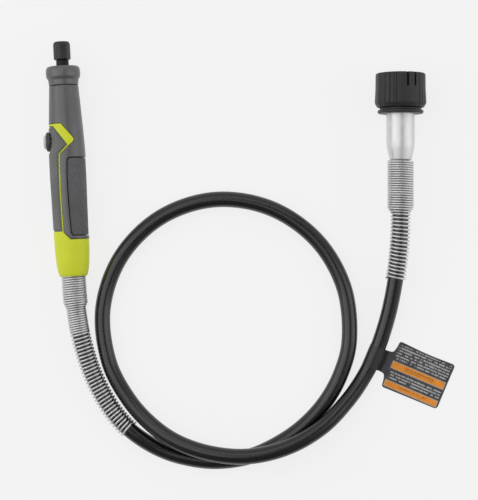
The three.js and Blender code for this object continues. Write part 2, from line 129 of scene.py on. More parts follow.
def blend_colour(tree, factor, first, second):
    """A mix of two colours; either may be a plain colour or another node's output."""
    node = tree.nodes.new("ShaderNodeMix")
    node.data_type = "RGBA"
    if isinstance(factor, (int, float)):
        node.inputs["Factor"].default_value = factor
    else:
        link(tree, factor, node.inputs["Factor"])
    for socket, colour in ((node.inputs["A"], first), (node.inputs["B"], second)):
        if isinstance(colour, tuple):
            socket.default_value = (*colour, 1)
        else:
            link(tree, colour, socket)
    return node.outputs["Result"]


def bump(tree, shader, height, distance, strength=1.0):
    node = tree.nodes.new("ShaderNodeBump")
    node.inputs["Distance"].default_value = distance
    node.inputs["Strength"].default_value = strength
    link(tree, height, node.inputs["Height"])
    link(tree, node.outputs["Normal"], shader.inputs["Normal"])


def scaled(colour, factor):
    return tuple(channel * factor for channel in colour)


def coordinates(tree, kind="Object"):
    return tree.nodes.new("ShaderNodeTexCoord").outputs[kind]


def edge_wear(tree):
    """Near 1 on outside edges, from the mesh's own curvature."""
    geometry = tree.nodes.new("ShaderNodeNewGeometry")
    return ranged(tree, geometry.outputs["Pointiness"], 0, 1, 0.58, 0.75)


def moulded(
    name, colour, roughness=0.5, grain=2600, depth=0.00003, spread=0.12, wear=0.25, extra=None, specular=0.4
):
    """Moulded plastic or rubber: slow colour drift, fine spark-eroded grain and paler edges.

    Extra is a function that makes the nodes of a texture's height, whose hollows get painted shade.
    """
    material, tree, shader = nodes_of(name)
    place = coordinates(tree)
    drift = noise(tree, place, 70, 4)
    speckle = noise(tree, place, grain, 2)
    tinted = blend_colour(
        tree, ranged(tree, drift, 0, 1), scaled(colour, 1 - spread), scaled(colour, 1 + spread)
    )
    tinted = blend_colour(
        tree, ranged(tree, speckle, 0, 0.35, 0.45, 0.75), tinted, scaled(colour, 1.5)
    )
    if wear:
        worn = math_node(tree, "MULTIPLY", edge_wear(tree), wear)
        tinted = blend_colour(tree, worn, tinted, scaled(colour, 2.0))
    link(
        tree,
        ranged(tree, noise(tree, place, 500, 3), roughness - 0.06, roughness + 0.08),
        shader.inputs["Roughness"],
    )
    height = speckle
    if extra:
        relief = extra(tree)
        height = math_node(tree, "ADD", math_node(tree, "MULTIPLY", speckle, 0.25), relief)
        # Painted shade: the texture's hollows are darkened towards a third of the colour.
        painted_hollow_shade = ranged(tree, relief, 0.45, 0, 0.05, 0.6)
        tinted = blend_colour(tree, painted_hollow_shade, tinted, scaled(colour, 0.35))
    link(tree, tinted, shader.inputs["Base Color"])
    shader.inputs["Specular IOR Level"].default_value = specular
    bump(tree, shader, height, depth)
    return material


def knurl(pitch, angle):
    """Height of a fine diamond texture in the piece's own millimetre coordinates."""

    def height(tree):
        split = tree.nodes.new("ShaderNodeSeparateXYZ")
        link(tree, coordinates(tree, "UV"), split.inputs[0])
        waves = []
        for turn in (angle, -angle):
            along = math_node(tree, "MULTIPLY", split.outputs[0], 1000 * math.cos(turn) * math.pi / pitch)
            across = math_node(tree, "MULTIPLY", split.outputs[1], 1000 * math.sin(turn) * math.pi / pitch)
            wave = math_node(tree, "SINE", math_node(tree, "ADD", along, across))
            waves.append(math_node(tree, "ABSOLUTE", wave))
        return math_node(tree, "MINIMUM", *waves)

    return height


def metal(
    name, colour, roughness, lines=0.0, line_scale=9000, spread=0.08, depth=0.000006, metallic=1.0
):
    """Machined or drawn metal: fine lines round or along the piece, and smudges."""
    material, tree, shader = nodes_of(name)
    shader.inputs["Metallic"].default_value = metallic
    place = coordinates(tree)
    smudge = noise(tree, place, 160, 4)
    tinted = blend_colour(
        tree, ranged(tree, smudge, 0, 1), scaled(colour, 1 - spread), scaled(colour, 1 + spread * 0.5)
    )
    link(tree, tinted, shader.inputs["Base Color"])
    link(tree, ranged(tree, smudge, roughness * 0.75, roughness * 1.4), shader.inputs["Roughness"])
    fine = noise(tree, place, 3000, 2)
    if lines:
        split = tree.nodes.new("ShaderNodeSeparateXYZ")
        link(tree, coordinates(tree, "UV"), split.inputs[0])
        drift = math_node(tree, "MULTIPLY", noise(tree, place, 300, 2), 6.0)
        phase = math_node(tree, "ADD", math_node(tree, "MULTIPLY", split.outputs[1], line_scale), drift)
        cut = math_node(tree, "MULTIPLY", math_node(tree, "SINE", phase), lines)
        fine = math_node(tree, "ADD", fine, cut)
    bump(tree, shader, fine, depth)
    return material


GREY = moulded("grey_plastic", (0.082, 0.082, 0.084), 0.33, specular=0.8)
LIME = moulded("lime_plastic", (0.63, 0.69, 0.032), 0.42, spread=0.04, wear=0.1, specular=0.25)
PAD = moulded(
    "textured_grip", (0.124, 0.123, 0.130), 0.62, depth=0.0003, wear=0.1, extra=knurl(1.5, 0.62)
)
PANEL = moulded(
    "textured_panel", (0.170, 0.173, 0.165), 0.6, depth=0.0003, wear=0.1, extra=knurl(1.5, 0.62)
)
NUT_PLASTIC = moulded("dark_plastic", (0.027, 0.027, 0.0275), 0.42, wear=0.3, specular=0.3)
BUTTON = moulded("button_plastic", (0.58, 0.58, 0.59), 0.42, spread=0.06, wear=0.1)
BEZEL = moulded("bezel_plastic", (0.055, 0.055, 0.057), 0.5)
# A near-black olive for the lime housing's core under the covers: painted shade for the depths seen through
# the seams.
PAINTED_CORE_SHADE = moulded("painted_shade_plastic", (0.012, 0.013, 0.008), 0.6, wear=0, specular=0.2)
HOSE = moulded(
    "hose_sheath", (0.004, 0.004, 0.0045), 0.24, grain=1800, depth=0.000004, wear=0, specular=0.66
)
SPRING = metal("bright_wire", (0.66, 0.66, 0.66), 0.36)
POLISHED = metal(
    "polished_metal", (0.72, 0.72, 0.72), 0.36, lines=0.3, line_scale=14000, depth=0.000002, metallic=0.55
)
STEEL = metal("machined_steel", (0.50, 0.50, 0.51), 0.28, lines=0.6)
BLACKENED = metal("blackened_steel", (0.058, 0.058, 0.061), 0.40, lines=0.3)
SPINDLE_STEEL = metal("dark_steel", (0.026, 0.026, 0.028), 0.42, lines=0.3)
BRASS = metal("turned_brass", (0.50, 0.33, 0.12), 0.28, lines=0.5)

# CAD nodes that stay as they are: inner pieces, seen only in section or through the socket.
CARRIED = {name: STEEL for name in ("lock_collar", "spacer_rear", "spacer_front", "drive_cable")}
CARRIED["circlip"] = BLACKENED
for bearing in ("rear_bearing", "front_bearing"):
    CARRIED[f"{bearing}_outer_ring"] = STEEL
    CARRIED[f"{bearing}_inner_ring"] = STEEL
    CARRIED[f"{bearing}_cage"] = BRASS
for node_name, look in CARRIED.items():
    carried = frame["nodes"][node_name]
    carried.data.materials.clear()
    carried.data.materials.append(look)


# ---------- mesh helpers
def add_mesh(name, verts, faces, place, look, body, replaced=(), uvs=None, sharp=38):
    """A mesh from millimetre points, placed, shaded, and riding on a CAD body."""
    mesh = bpy.data.meshes.new(name)
    mesh.from_pydata([tuple(place @ Vector(v)) for v in verts], [], faces)
    if uvs is not None:
        layer = mesh.uv_layers.new(name="UVMap")
        for loop in mesh.loops:
            layer.data[loop.index].uv = (uvs[loop.vertex_index][0] * MM, uvs[loop.vertex_index][1] * MM)
    mesh.materials.append(look)
    mesh.shade_smooth()
    mesh.set_sharp_from_angle(angle=math.radians(sharp))
    mesh.validate()
    piece = bpy.data.objects.new(name, mesh)
    scene.collection.objects.link(piece)
    return settle(piece, body, replaced)


def settle(piece, body, replaced=()):
    """Puts the piece on its body and the CAD nodes it stands for."""
    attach(piece, body)
    if replaced:
        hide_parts(*replaced)
    return piece


def rounded(profile, steps=4):
    """A closed profile of (radius, along, edge) points, each corner eased over its edge length."""
    out = []
    count = len(profile)
    for i, (radius, along, edge) in enumerate(profile):
        corner = Vector((radius, along))
        before = Vector(profile[i - 1][:2]) - corner
        after = Vector(profile[(i + 1) % count][:2]) - corner
        reach = min(edge, before.length * 0.45, after.length * 0.45)
        if reach < 0.01 or radius == 0:
            out.append(corner)
            continue
        start = corner + before.normalized() * reach
        end = corner + after.normalized() * reach
        for step in range(steps + 1):
            t = step / steps
            out.append(start * (1 - t) ** 2 + corner * 2 * t * (1 - t) + end * t**2)
    return out


def turned(profile, segments=128, shape=None):
    """Verts, faces and UVs of a closed profile turned about Y; shape may change radius by angle."""
    verts, uvs, rings = [], [], []
    run = 0.0
    for i, point in enumerate(profile):
        run += (point - profile[i - 1]).length if i else 0
        if point.x == 0:
            rings.append([len(verts)])
            verts.append((0, point.y, 0))
            uvs.append((0, run))
            continue
        rings.append(list(range(len(verts), len(verts) + segments)))
        for k in range(segments):
            angle = 2 * math.pi * k / segments
            radius = shape(point.x, point.y, angle) if shape else point.x
            verts.append((radius * math.sin(angle), point.y, radius * math.cos(angle)))
            uvs.append((angle * point.x, run))
    faces = []
    for i, here in enumerate(rings):
        there = rings[(i + 1) % len(rings)]
        if len(here) == 1 and len(there) == 1:
            continue
        for k in range(segments):
            after = (k + 1) % segments
            face = []
            for ring, place in ((here, k), (here, after), (there, after), (there, k)):
                vertex = ring[place % len(ring)]
                if vertex not in face:
                    face.append(vertex)
            faces.append(tuple(face))
    return verts, faces, uvs


def outward(verts, faces):
    """The faces, turned round together if they enclose a negative volume."""
    volume = 0.0
    for face in faces:
        a = Vector(verts[face[0]])
        for i in range(1, len(face) - 1):
            volume += a.dot(Vector(verts[face[i]]).cross(Vector(verts[face[i + 1]])))
    return faces if volume >= 0 else [tuple(reversed(face)) for face in faces]


def lathe(name, profile, place, look, body, replaced=(), segments=128, shape=None, move=None):
    """A turned piece with eased corners; move places it in its end's own frame."""
    verts, faces, uvs = turned(rounded(profile), segments, shape)
    if move:
        verts = [tuple(move @ Vector(v)) for v in verts]
    faces = outward(verts, faces)
    return add_mesh(name, verts, faces, place, look, body, replaced, uvs)


# ---------- the shaft's line
SHAFT_ROUTE = [
    (-98.4, -4.9, 11.1), (-97.5, -22.9, 11.1), (-96.4, -38.6, 10.7), (-93.9, -56.2, 9.6),
    (-91.9, -64.7, 8.8), (-87.4, -79.3, 7.5), (-80.9, -93.5, 6.9), (-73.4, -105.3, 6.6),
    (-67.2, -112.6, 6.55), (-59.3, -119.4, 6.2), (-46.9, -127.0, 5.1), (-33.4, -132.0, 4.8),
    (-12.8, -135.0, 4.8), (8.1, -132.3, 4.8), (26.8, -124.0, 4.8), (42.6, -112.7, 4.8),
    (55.8, -97.8, 4.8), (64.8, -80.7, 4.8), (69.5, -61.9, 4.8), (66.2, -29.1, 4.8),
    (49.6, -0.5, 4.8), (21.5, 18.9, 4.8), (-12.5, 24.1, 4.8), (-45.1, 13.4, 4.8),
    (-69.3, -10.5, 4.8), (-80.3, -42.0, 4.8), (-76.6, -74.5, 5.3), (-65.1, -96.4, 7.0),
    (-52.3, -110.7, 9.6), (-36.6, -121.7, 12.6), (-15.7, -128.9, 15.0), (8.0, -130.8, 15.6),
    (32.1, -125.2, 14.6), (52.8, -113.5, 11.6), (68.3, -97.9, 7.6), (78.1, -84.0, 5.6),
    (85.3, -69.7, 5.5), (92.8, -46.6, 7.4), (97.5, -21.1, 11.0), (99.5, 1.9, 14.4),
    (99.67, 20.5, 15.6), (99.67, 47.6, 15.65), (99.67, 64, 15.65),
]
HOSE_RADIUS = 4.8


def smooth_line(route, steps=24):
    """Points of a centripetal Catmull-Rom line through the route."""
    points = [Vector(p) for p in route]
    points = [points[0] * 2 - points[1], *points, points[-1] * 2 - points[-2]]
    out = []
    for p0, p1, p2, p3 in zip(points, points[1:], points[2:], points[3:]):
        d0, d1, d2 = ((b - a).length ** 0.5 for a, b in ((p0, p1), (p1, p2), (p2, p3)))
        t1 = ((p1 - p0) / d0 - (p2 - p0) / (d0 + d1) + (p2 - p1) / d1) * d1
        t2 = ((p2 - p1) / d1 - (p3 - p1) / (d1 + d2) + (p3 - p2) / d2) * d1
        c2 = p2 * 3 - p1 * 3 - t1 * 2 - t2
        c3 = p1 * 2 - p2 * 2 + t1 + t2
        out += [p1 + t1 * t + c2 * t**2 + c3 * t**3 for t in (k / steps for k in range(steps))]
    return out + [points[-2]]


LINE = np.array([tuple(p) for p in smooth_line(SHAFT_ROUTE)])
RUN = np.concatenate([[0], np.cumsum(np.linalg.norm(np.diff(LINE, axis=0), axis=1))])
SHAFT_LENGTH = float(RUN[-1])


def on_shaft(along):
    """The shaft's centre and direction at a distance along it."""
    before, here, after = (
        Vector([float(np.interp(along + step, RUN, LINE[:, axis])) for axis in range(3)])
        for step in (-0.5, 0, 0.5)
    )
    return here, (after - before).normalized()


# ---------- the sheath (a free cord)
def hose():
    curve = bpy.data.curves.new("sheath", "CURVE")
    curve.dimensions = "3D"
    spline = curve.splines.new("POLY")
    spots = np.arange(0, SHAFT_LENGTH, 1.6).tolist() + [SHAFT_LENGTH]
    spline.points.add(len(spots) - 1)
    for point, along in zip(spline.points, spots):
        point.co = (*(on_shaft(min(max(along, 0.5), SHAFT_LENGTH - 0.5))[0] * MM), 1)
    curve.bevel_depth = HOSE_RADIUS * MM
    curve.bevel_resolution = 10
    curve.use_fill_caps = True
    curve.materials.append(HOSE)
    piece = bpy.data.objects.new("sheath", curve)
    scene.collection.objects.link(piece)
    return settle(piece, "handpiece", ["hose_sheath"])


sheath = hose()


# ---------- tag on the sheath
TAG_NEAR, TAG_FAR, TAG_HALF, TAG_NECK = 11.4, 48.2, 15.0, 6.7
TAG_FLOOR = -5.28
TAG_LOOP = 5.0  # inner radius of the film round the sheath
TAG_LANDING = 9.6  # where the film of the loop meets the flat film
FILM = 0.22


def tag_outline():
    """Outline of the flat film in the tag's frame, anticlockwise, with eased corners."""
    corners = [
        (-1.5, -TAG_NECK, 0), (6.6, -TAG_NECK, 0), (10.4, -TAG_NECK - 0.4, 2.6), (TAG_NEAR, -11.2, 1.2),
        (TAG_NEAR + 0.4, -TAG_HALF, 2.0), (TAG_FAR, -TAG_HALF + 0.5, 2.2), (TAG_FAR, TAG_HALF - 0.3, 2.2),
        (30.0, TAG_HALF - 0.9, 6.0), (TAG_NEAR + 0.2, TAG_HALF, 2.0), (TAG_NEAR, 11.2, 1.2),
        (10.4, TAG_NECK + 0.4, 2.6), (6.6, TAG_NECK, 0), (-1.5, TAG_NECK, 0),
    ]
    return [tuple(p) for p in rounded(corners, 6)]


def dense(loop, step, closed=True):
    """The loop, or the open line, with a point at least every step."""
    out = []
    for i, (x, y) in enumerate(loop if closed else loop[:-1]):
        nx, ny = loop[(i + 1) % len(loop)]
        parts = max(1, math.ceil(math.hypot(nx - x, ny - y) / step))
        out += [(x + (nx - x) * k / parts, y + (ny - y) * k / parts) for k in range(parts)]
    return out if closed else out + [loop[-1]]


def inside(points, loop):
    """True for each point that lies inside the loop."""
    p = np.asarray(points, float)
    a = np.asarray(loop, float)
    b = np.roll(a, -1, axis=0)
    hit = np.zeros(len(p), bool)
    for (x1, y1), (x2, y2) in zip(a, b):
        if y1 == y2:
            continue
        crosses = (y1 > p[:, 1]) != (y2 > p[:, 1])
        hit ^= crosses & (p[:, 0] < (x2 - x1) * (p[:, 1] - y1) / (y2 - y1) + x1)
    return hit


def edge_distance(points, pairs):
    """A function that gives the distance from a place to the nearest edge, from four points on each."""
    tree = kdtree.KDTree(len(pairs) * 4)
    for n, (i, j) in enumerate(pairs):
        for part in range(4):
            t = part / 4
            x = points[i][0] * (1 - t) + points[j][0] * t
            y = points[i][1] * (1 - t) + points[j][1] * t
            tree.insert((x, y, 0), n * 4 + part)
    tree.balance()
    return lambda x, y: tree.find((x, y, 0))[2]


def beside_edges(points, pairs, insets, clear):
    """Rows of points along both sides of the edges, at each inset."""
    out = []
    for i, j in pairs:
        (x1, y1), (x2, y2) = points[i], points[j]
        length = math.hypot(x2 - x1, y2 - y1)
        if length < 1e-6:
            continue
        nx, ny = -(y2 - y1) / length, (x2 - x1) / length
        for inset in insets:
            for way in (1, -1):
                x = (x1 + x2) / 2 + nx * inset * way
                y = (y1 + y2) / 2 + ny * inset * way
                if clear(x, y) > inset * 0.93:
                    out.append((x, y))
    return out


def staggered_grid(loop, step, margin, clear):
    """Points in staggered rows over the loop's box, clear of the edges by a margin."""
    low = np.min(loop, axis=0)
    high = np.max(loop, axis=0)
    out = []
    row = 0
    y = low[1] + step / 2
    while y < high[1]:
        x = low[0] + step / 2 * (1 + row % 2)
        while x < high[0]:
            if clear(x, y) > margin:
                out.append((x, y))
            x += step
        y += step * 0.87
        row += 1
    return out


def between_loops(points, loops):
    """True for each point inside the first loop and outside the others."""
    keep = inside(points, loops[0])
    for hole in loops[1:]:
        keep &= ~inside(points, hole)
    return keep


def away_from(points, others, gap):
    """The points that are at least a gap from all the others."""
    if not others:
        return points
    tree = kdtree.KDTree(len(others))
    for i, (x, y) in enumerate(others):
        tree.insert((x, y, 0), i)
    tree.balance()
    return [(x, y) for x, y in points if tree.find((x, y, 0))[2] >= gap]


def filled(loops, step, insets=(), creases=()):
    """Triangles over the first loop less the others, with rows of points near the edges.

    Creases are open lines inside the loop that the triangles follow. Returns the points, the
    triangles and each point's distance from an edge.
    """
    points, pairs = [], []
    for loop in loops:
        base = len(points)
        points += loop
        pairs += [(base + i, base + (i + 1) % len(loop)) for i in range(len(loop))]
    borders = len(points)
    clear = edge_distance(points, pairs)
    margin = (max(insets) if insets else 0) + step * 0.45
    spare = beside_edges(points, pairs, insets, clear) + staggered_grid(loops[0], step, margin, clear)
    spare = [spot for spot, kept in zip(spare, between_loops(spare, loops)) if kept]
    folds = []
    for line in creases:
        base = len(points)
        points += line
        folds += [(base + i, base + i + 1) for i in range(len(line) - 1)]
    points += away_from(spare, points[borders:], 0.2)
    result = delaunay_2d_cdt([Vector(p) for p in points], pairs + folds, [], 0, 1e-5)
    coords = [tuple(p) for p in result[0]]
    middles = [np.mean([coords[v] for v in face], axis=0) for face in result[2]]
    faces = [tuple(face) for face, kept in zip(result[2], between_loops(middles, loops)) if kept]
    distance = [clear(*p) for p in coords]
    for i, origin in enumerate(result[3]):
        if any(v < borders for v in origin):
            distance[i] = 0.0
    return coords, faces, distance


def open_edges(faces):
    """Directed edges that belong to one face only."""
    seen = {}
    for face in faces:
        for i, vertex in enumerate(face):
            seen[(vertex, face[(i + 1) % len(face)])] = True
    return [edge for edge in seen if (edge[1], edge[0]) not in seen]


def thick(coords, faces, top, bottom):
    """A closed plate: the faces mapped by top, again by bottom, and walls between them."""
    used = sorted({v for face in faces for v in face})
    where = {v: i for i, v in enumerate(used)}
    count = len(used)
    verts = [top(v) for v in used] + [bottom(v) for v in used]
    uvs = [coords[v] for v in used] * 2
    made = [tuple(where[v] for v in face) for face in faces]
    walls = [(b, a, a + count, b + count) for a, b in open_edges(made)]
    closed = made + [tuple(v + count for v in reversed(face)) for face in made] + walls
    return verts, closed, uvs


def printed_film():
    """Dark film with rows of plain bars and two orange bands; no lettering."""
    material, tree, shader = nodes_of("printed_film")
    split = tree.nodes.new("ShaderNodeSeparateXYZ")
    link(tree, coordinates(tree, "UV"), split.inputs[0])
    u = math_node(tree, "MULTIPLY", split.outputs[0], 1000)
    v = math_node(tree, "MULTIPLY", split.outputs[1], 1000)

    def between(value, low, high):
        return math_node(
            tree,
            "MULTIPLY",
            math_node(tree, "GREATER_THAN", value, low),
            math_node(tree, "LESS_THAN", value, high),
        )

    def both(a, b):
        return math_node(tree, "MULTIPLY", a, b)

    def bars(pitch, height, length, share):
        """Rows of bars of uneven length."""
        row = math_node(tree, "FLOOR", math_node(tree, "DIVIDE", v, pitch))
        across = math_node(tree, "SUBTRACT", math_node(tree, "DIVIDE", v, pitch), row)
        place = tree.nodes.new("ShaderNodeCombineXYZ")
        link(tree, math_node(tree, "DIVIDE", u, length), place.inputs[0])
        link(tree, math_node(tree, "MULTIPLY", row, 7.31), place.inputs[1])
        word = math_node(tree, "GREATER_THAN", noise(tree, place.outputs[0], 1.0, 1.0), share)
        return both(word, between(across, 0.5 - height / 2, 0.5 + height / 2))

    paper = noise(tree, coordinates(tree), 300, 4)
    film = blend_colour(tree, ranged(tree, paper, 0, 1), (0.052, 0.052, 0.058), (0.078, 0.078, 0.086))
    film = blend_colour(tree, ranged(tree, u, 1, 0, 3, 5), film, (0.018, 0.018, 0.020))
    inset = between(u, TAG_NEAR + 1.2, TAG_FAR - 1.4)
    text_rows = math_node(tree, "ADD", between(v, 3.7, 13.3), between(v, -8.9, -3.3))
    text = both(both(bars(1.75, 0.52, 1.5, 0.44), text_rows), inset)
    colour = blend_colour(tree, both(text, ranged(tree, paper, 0.6, 0.95)), film, (0.50, 0.50, 0.50))
    for low, high in ((-2.3, 2.6), (-13.9, -9.6)):
        frame_mask = both(between(v, low, high), between(u, TAG_NEAR + 0.8, TAG_FAR - 1.0))
        band_mask = both(between(v, low + 0.45, high - 0.45), between(u, TAG_NEAR + 1.3, TAG_FAR - 1.5))
        mark_rows = between(v, low + 1.5, high - 1.4)
        marks = both(both(bars(6.0, 0.9, 0.42, 0.47), mark_rows), between(u, 21, 40))
        colour = blend_colour(tree, both(frame_mask, 0.75), colour, (0.56, 0.50, 0.42))
        orange = blend_colour(tree, ranged(tree, paper, 0, 1), (0.78, 0.26, 0.022), (0.90, 0.33, 0.035))
        orange = blend_colour(tree, both(marks, 0.7), orange, (0.16, 0.07, 0.02))
        colour = blend_colour(tree, band_mask, colour, orange)
    link(tree, colour, shader.inputs["Base Color"])
    link(tree, ranged(tree, paper, 0.26, 0.42), shader.inputs["Roughness"])
    bump(tree, shader, noise(tree, coordinates(tree), 90, 3), 0.0002, 0.6)
    return material


def warning_tag():
    """The flat film, lying nearly on the surface, and its loop round the sheath."""
    coords, faces, _ = filled([dense(tag_outline(), 0.8)], 1.1)

    def height(v):
        x, y = coords[v]
        out = max(0.0, x - TAG_NEAR) / (TAG_FAR - TAG_NEAR)
        curl = 1.1 * out**2 * (0.35 + 0.65 * (y / TAG_HALF) ** 2)
        ripple = 0.18 * math.sin(x * 0.21 + 0.6) * min(1, max(0, x - 6) / 6)
        return TAG_FLOOR + max(0, curl + ripple)

    flat = thick(
        coords,
        faces,
        lambda v: (coords[v][0], coords[v][1], height(v) + FILM),
        lambda v: (coords[v][0], coords[v][1], height(v)),
    )
    # The loop of film: from under the shaft, round it, and down on to the flat film.
    path = [(-TAG_LOOP * math.sin(a), -TAG_LOOP * math.cos(a)) for a in np.linspace(0, math.pi * 1.36, 40)]
    end = path[-1]
    slope = (math.cos(math.pi * 0.36), -math.sin(math.pi * 0.36))
    for t in np.linspace(0, 1, 12)[1:]:
        x = end[0] + (TAG_LANDING - end[0]) * t
        straight = end[1] + slope[1] / slope[0] * (x - end[0])
        landed = TAG_FLOOR + FILM + 0.02
        path.append((x, landed + max(0.0, straight - landed) * (1 - t) ** 0.5))
    rows = []
    for i, (x, z) in enumerate(path):
        ahead = path[min(i + 1, len(path) - 1)]
        behind = path[max(i - 1, 0)]
        run = Vector((ahead[0] - behind[0], ahead[1] - behind[1])).normalized()
        outer_x, outer_z = x + run.y * FILM, z - run.x * FILM
        rows.append([
            (x, -TAG_NECK, z), (x, TAG_NECK, z),
            (outer_x, TAG_NECK, outer_z), (outer_x, -TAG_NECK, outer_z),
        ])
    verts, made, uvs = flat
    base = len(verts)
    for i, row in enumerate(rows):
        verts += row
        uvs += [(-i * 0.5, corner[1]) for corner in row]
    for i in range(len(rows) - 1):
        a, b = base + i * 4, base + (i + 1) * 4
        made += [(a + k, a + (k + 1) % 4, b + (k + 1) % 4, b + k) for k in range(4)]
    last = base + (len(rows) - 1) * 4
    made += [(base + 3, base + 2, base + 1, base), (last, last + 1, last + 2, last + 3)]
    return add_mesh("printed_tag", verts, made, TAG, printed_film(), "tag", ["warning_tag"], uvs)


tag = warning_tag()


# ---------- bend springs
def tube_faces(rings, sides):
    """Quads between rings of points, and a cap at each end."""
    faces = []
    for i in range(rings - 1):
        for k in range(sides):
            a, b = i * sides + k, i * sides + (k + 1) % sides
            faces.append((a, b, b + sides, a + sides))
    total = rings * sides
    return faces + [tuple(reversed(range(sides))), tuple(range(total - sides, total))]


def coil(name, start, way, windings, radius, steps=22, sides=8, replaced=()):
    """Round wire wound on the shaft: windings are (turns, pitch, first radius, last radius)."""
    line, centres = [], []
    along = 0.0
    angle = 0.0
    for number, (turns, pitch, first, last) in enumerate(windings):
        count = round(turns * steps)
        closing = 1 if number == len(windings) - 1 else 0
        for k in range(count + closing):
            t = k / count
            centre, ahead = on_shaft(start + way * (along + t * turns * pitch))
            side = Vector((0, 0, 1)).cross(ahead).normalized()
            up = ahead.cross(side)
            reach = first + (last - first) * t
            turn = angle + t * turns * 2 * math.pi
            spoke = side * math.cos(turn) + up * math.sin(turn)
            line.append(centre + spoke * reach)
            centres.append(spoke)
        along += turns * pitch
        angle += turns * 2 * math.pi
    verts, uvs = [], []
    for i, (point, spoke) in enumerate(zip(line, centres)):
        run = (line[min(i + 1, len(line) - 1)] - line[max(i - 1, 0)]).normalized()
        across = run.cross(spoke).normalized()
        for k in range(sides):
            a = 2 * math.pi * k / sides
            verts.append(tuple(point + (spoke * math.cos(a) + across * math.sin(a)) * radius))
            uvs.append((a * radius, i * 0.2))
    faces = outward(verts, tube_faces(len(line), sides))
    return add_mesh(name, verts, faces, WORLD_MM, SPRING, "handpiece", replaced, uvs, 60)


coil(
    "tail_spring", 17, 1,
    [(12, 1.4, 6.85, 6.85), (2, 1.4, 6.85, 5.5), (11, 1.4, 5.5, 5.5), (30, 2.24, 5.5, 5.5)],
    0.69, replaced=["handpiece_spring"],
)
coil(
    "head_spring", SHAFT_LENGTH - 17.2, -1,
    [(20, 1.4, 7.42, 7.42), (2, 1.5, 7.42, 5.5), (18, 2.24, 5.5, 5.5)],
    0.66, replaced=["coupling_spring"],
)

# ---------- handpiece shell
BODY = [
    (0.6, 8.2), (1.6, 8.65), (4.2, 9.3), (8.6, 9.95), (17.5, 10.45), (25, 10.65), (32, 10.72),
    (46.6, 10.92), (60, 11.1), (71, 11.05), (76, 10.95), (90.2, 10.35), (97.5, 9.9), (104.7, 9.5),
    (110, 9.15), (115.6, 8.85),
]
WALL = 1.6
PANEL_OUTLINE = [
    (-4.35, 27.7), (-4.65, 37.5), (-4.8, 52.7), (-4.4, 70.6), (-4.2, 74.25), (1.4, 79.6), (-7.3, 91.35),
]
ACCENT_OUTLINE = [
    (0.4, 22.7), (-3.7, 26.9), (-4.0, 37.5), (-4.15, 52.7), (-3.75, 70.4), (-3.55, 74.0), (2.1, 79.1),
    (4.7, 81.3), (5.3, 82.6), (4.8, 83.9), (-1.9, 92.2), (-2.6, 92.5),
]
PAD_OUTLINE = [
    (2.4, 25.2), (1.6, 25.7), (1.15, 27.0), (0.85, 32.4), (0.35, 45), (0.2, 60), (0.65, 68), (0.8, 70.2),
    (1.4, 71.3), (2.6, 71.7),
]
BUTTON_Y = 82.3
SEAM = 0.14  # visible gap between neighbouring mouldings
SCREWS = [(6.0, 100), (6.8, 82), (7.0, 18.6), (-7.0, 18.6)]
UNROLL = 10.0  # radius at which angles are laid out flat, in millimetres


def body_radius(y):
    """The handpiece's outline, eased through its stations."""
    ys, rs = zip(*BODY)
    if y <= ys[0]:
        return rs[0]
    if y >= ys[-1]:
        return rs[-1]
    i = max(k for k, station in enumerate(ys) if station <= y)
    span = ys[i + 1] - ys[i]

    def slope(k):
        if k in (0, len(ys) - 1):
            near = min(k, len(ys) - 2)
            return (rs[near + 1] - rs[near]) / (ys[near + 1] - ys[near])
        return (rs[k + 1] - rs[k - 1]) / (ys[k + 1] - ys[k - 1])

    t = (y - ys[i]) / span
    return (
        rs[i] * (2 * t**3 - 3 * t**2 + 1)
        + slope(i) * span * (t**3 - 2 * t**2 + t)
        + rs[i + 1] * (3 * t**2 - 2 * t**3)
        + slope(i + 1) * span * (t**3 - t**2)
    )


def flat_from_top(x, y):
    """A point seen from above as laid-out coordinates; x = 0 is the top line."""
    ratio = max(-1.0, min(1.0, x / body_radius(y)))
    return (math.asin(ratio) * UNROLL, y)


def shifted(outline, distance):
    """An open outline moved to its left by a distance, or to its right if negative."""
    out = []
    for i, (x, y) in enumerate(outline):
        before = outline[max(i - 1, 0)]
        after = outline[min(i + 1, len(outline) - 1)]
        normals = []
        for (ax, ay), (bx, by) in ((before, (x, y)), ((x, y), after)):
            length = math.hypot(bx - ax, by - ay)
            if length > 1e-9:
                normals.append((-(by - ay) / length, (bx - ax) / length))
        sx = sum(n[0] for n in normals)
        sy = sum(n[1] for n in normals)
        scale = len(normals) * distance / (sx * sx + sy * sy)
        out.append((x + sx * scale, y + sy * scale))
    return out


EDGE = math.pi / 2 * UNROLL  # the side of the handpiece in laid-out coordinates


def mirrored(path, about):
    """The path reflected about a laid-out line, in reverse order."""
    return [(2 * about - x, y) for x, y in reversed(path)]


def eased(path, size=0.5, steps=4):
    """The open path with its inner corners rounded."""
    last = len(path) - 1
    corners = [(x, y, size if 0 < i < last else 0) for i, (x, y) in enumerate(path)]
    return [tuple(p) for p in rounded(corners, steps)]


def from_top(path, step=0.7):
    """A path seen from above, made dense, as laid-out coordinates."""
    return [flat_from_top(x, y) for x, y in dense(path, step, closed=False)]


def fillet(distance, size):
    """How far a rounded edge lies below the surface at a distance from it."""
    if distance >= size:
        return 0.0
    return size - math.sqrt(max(0.0, size**2 - (size - distance) ** 2))


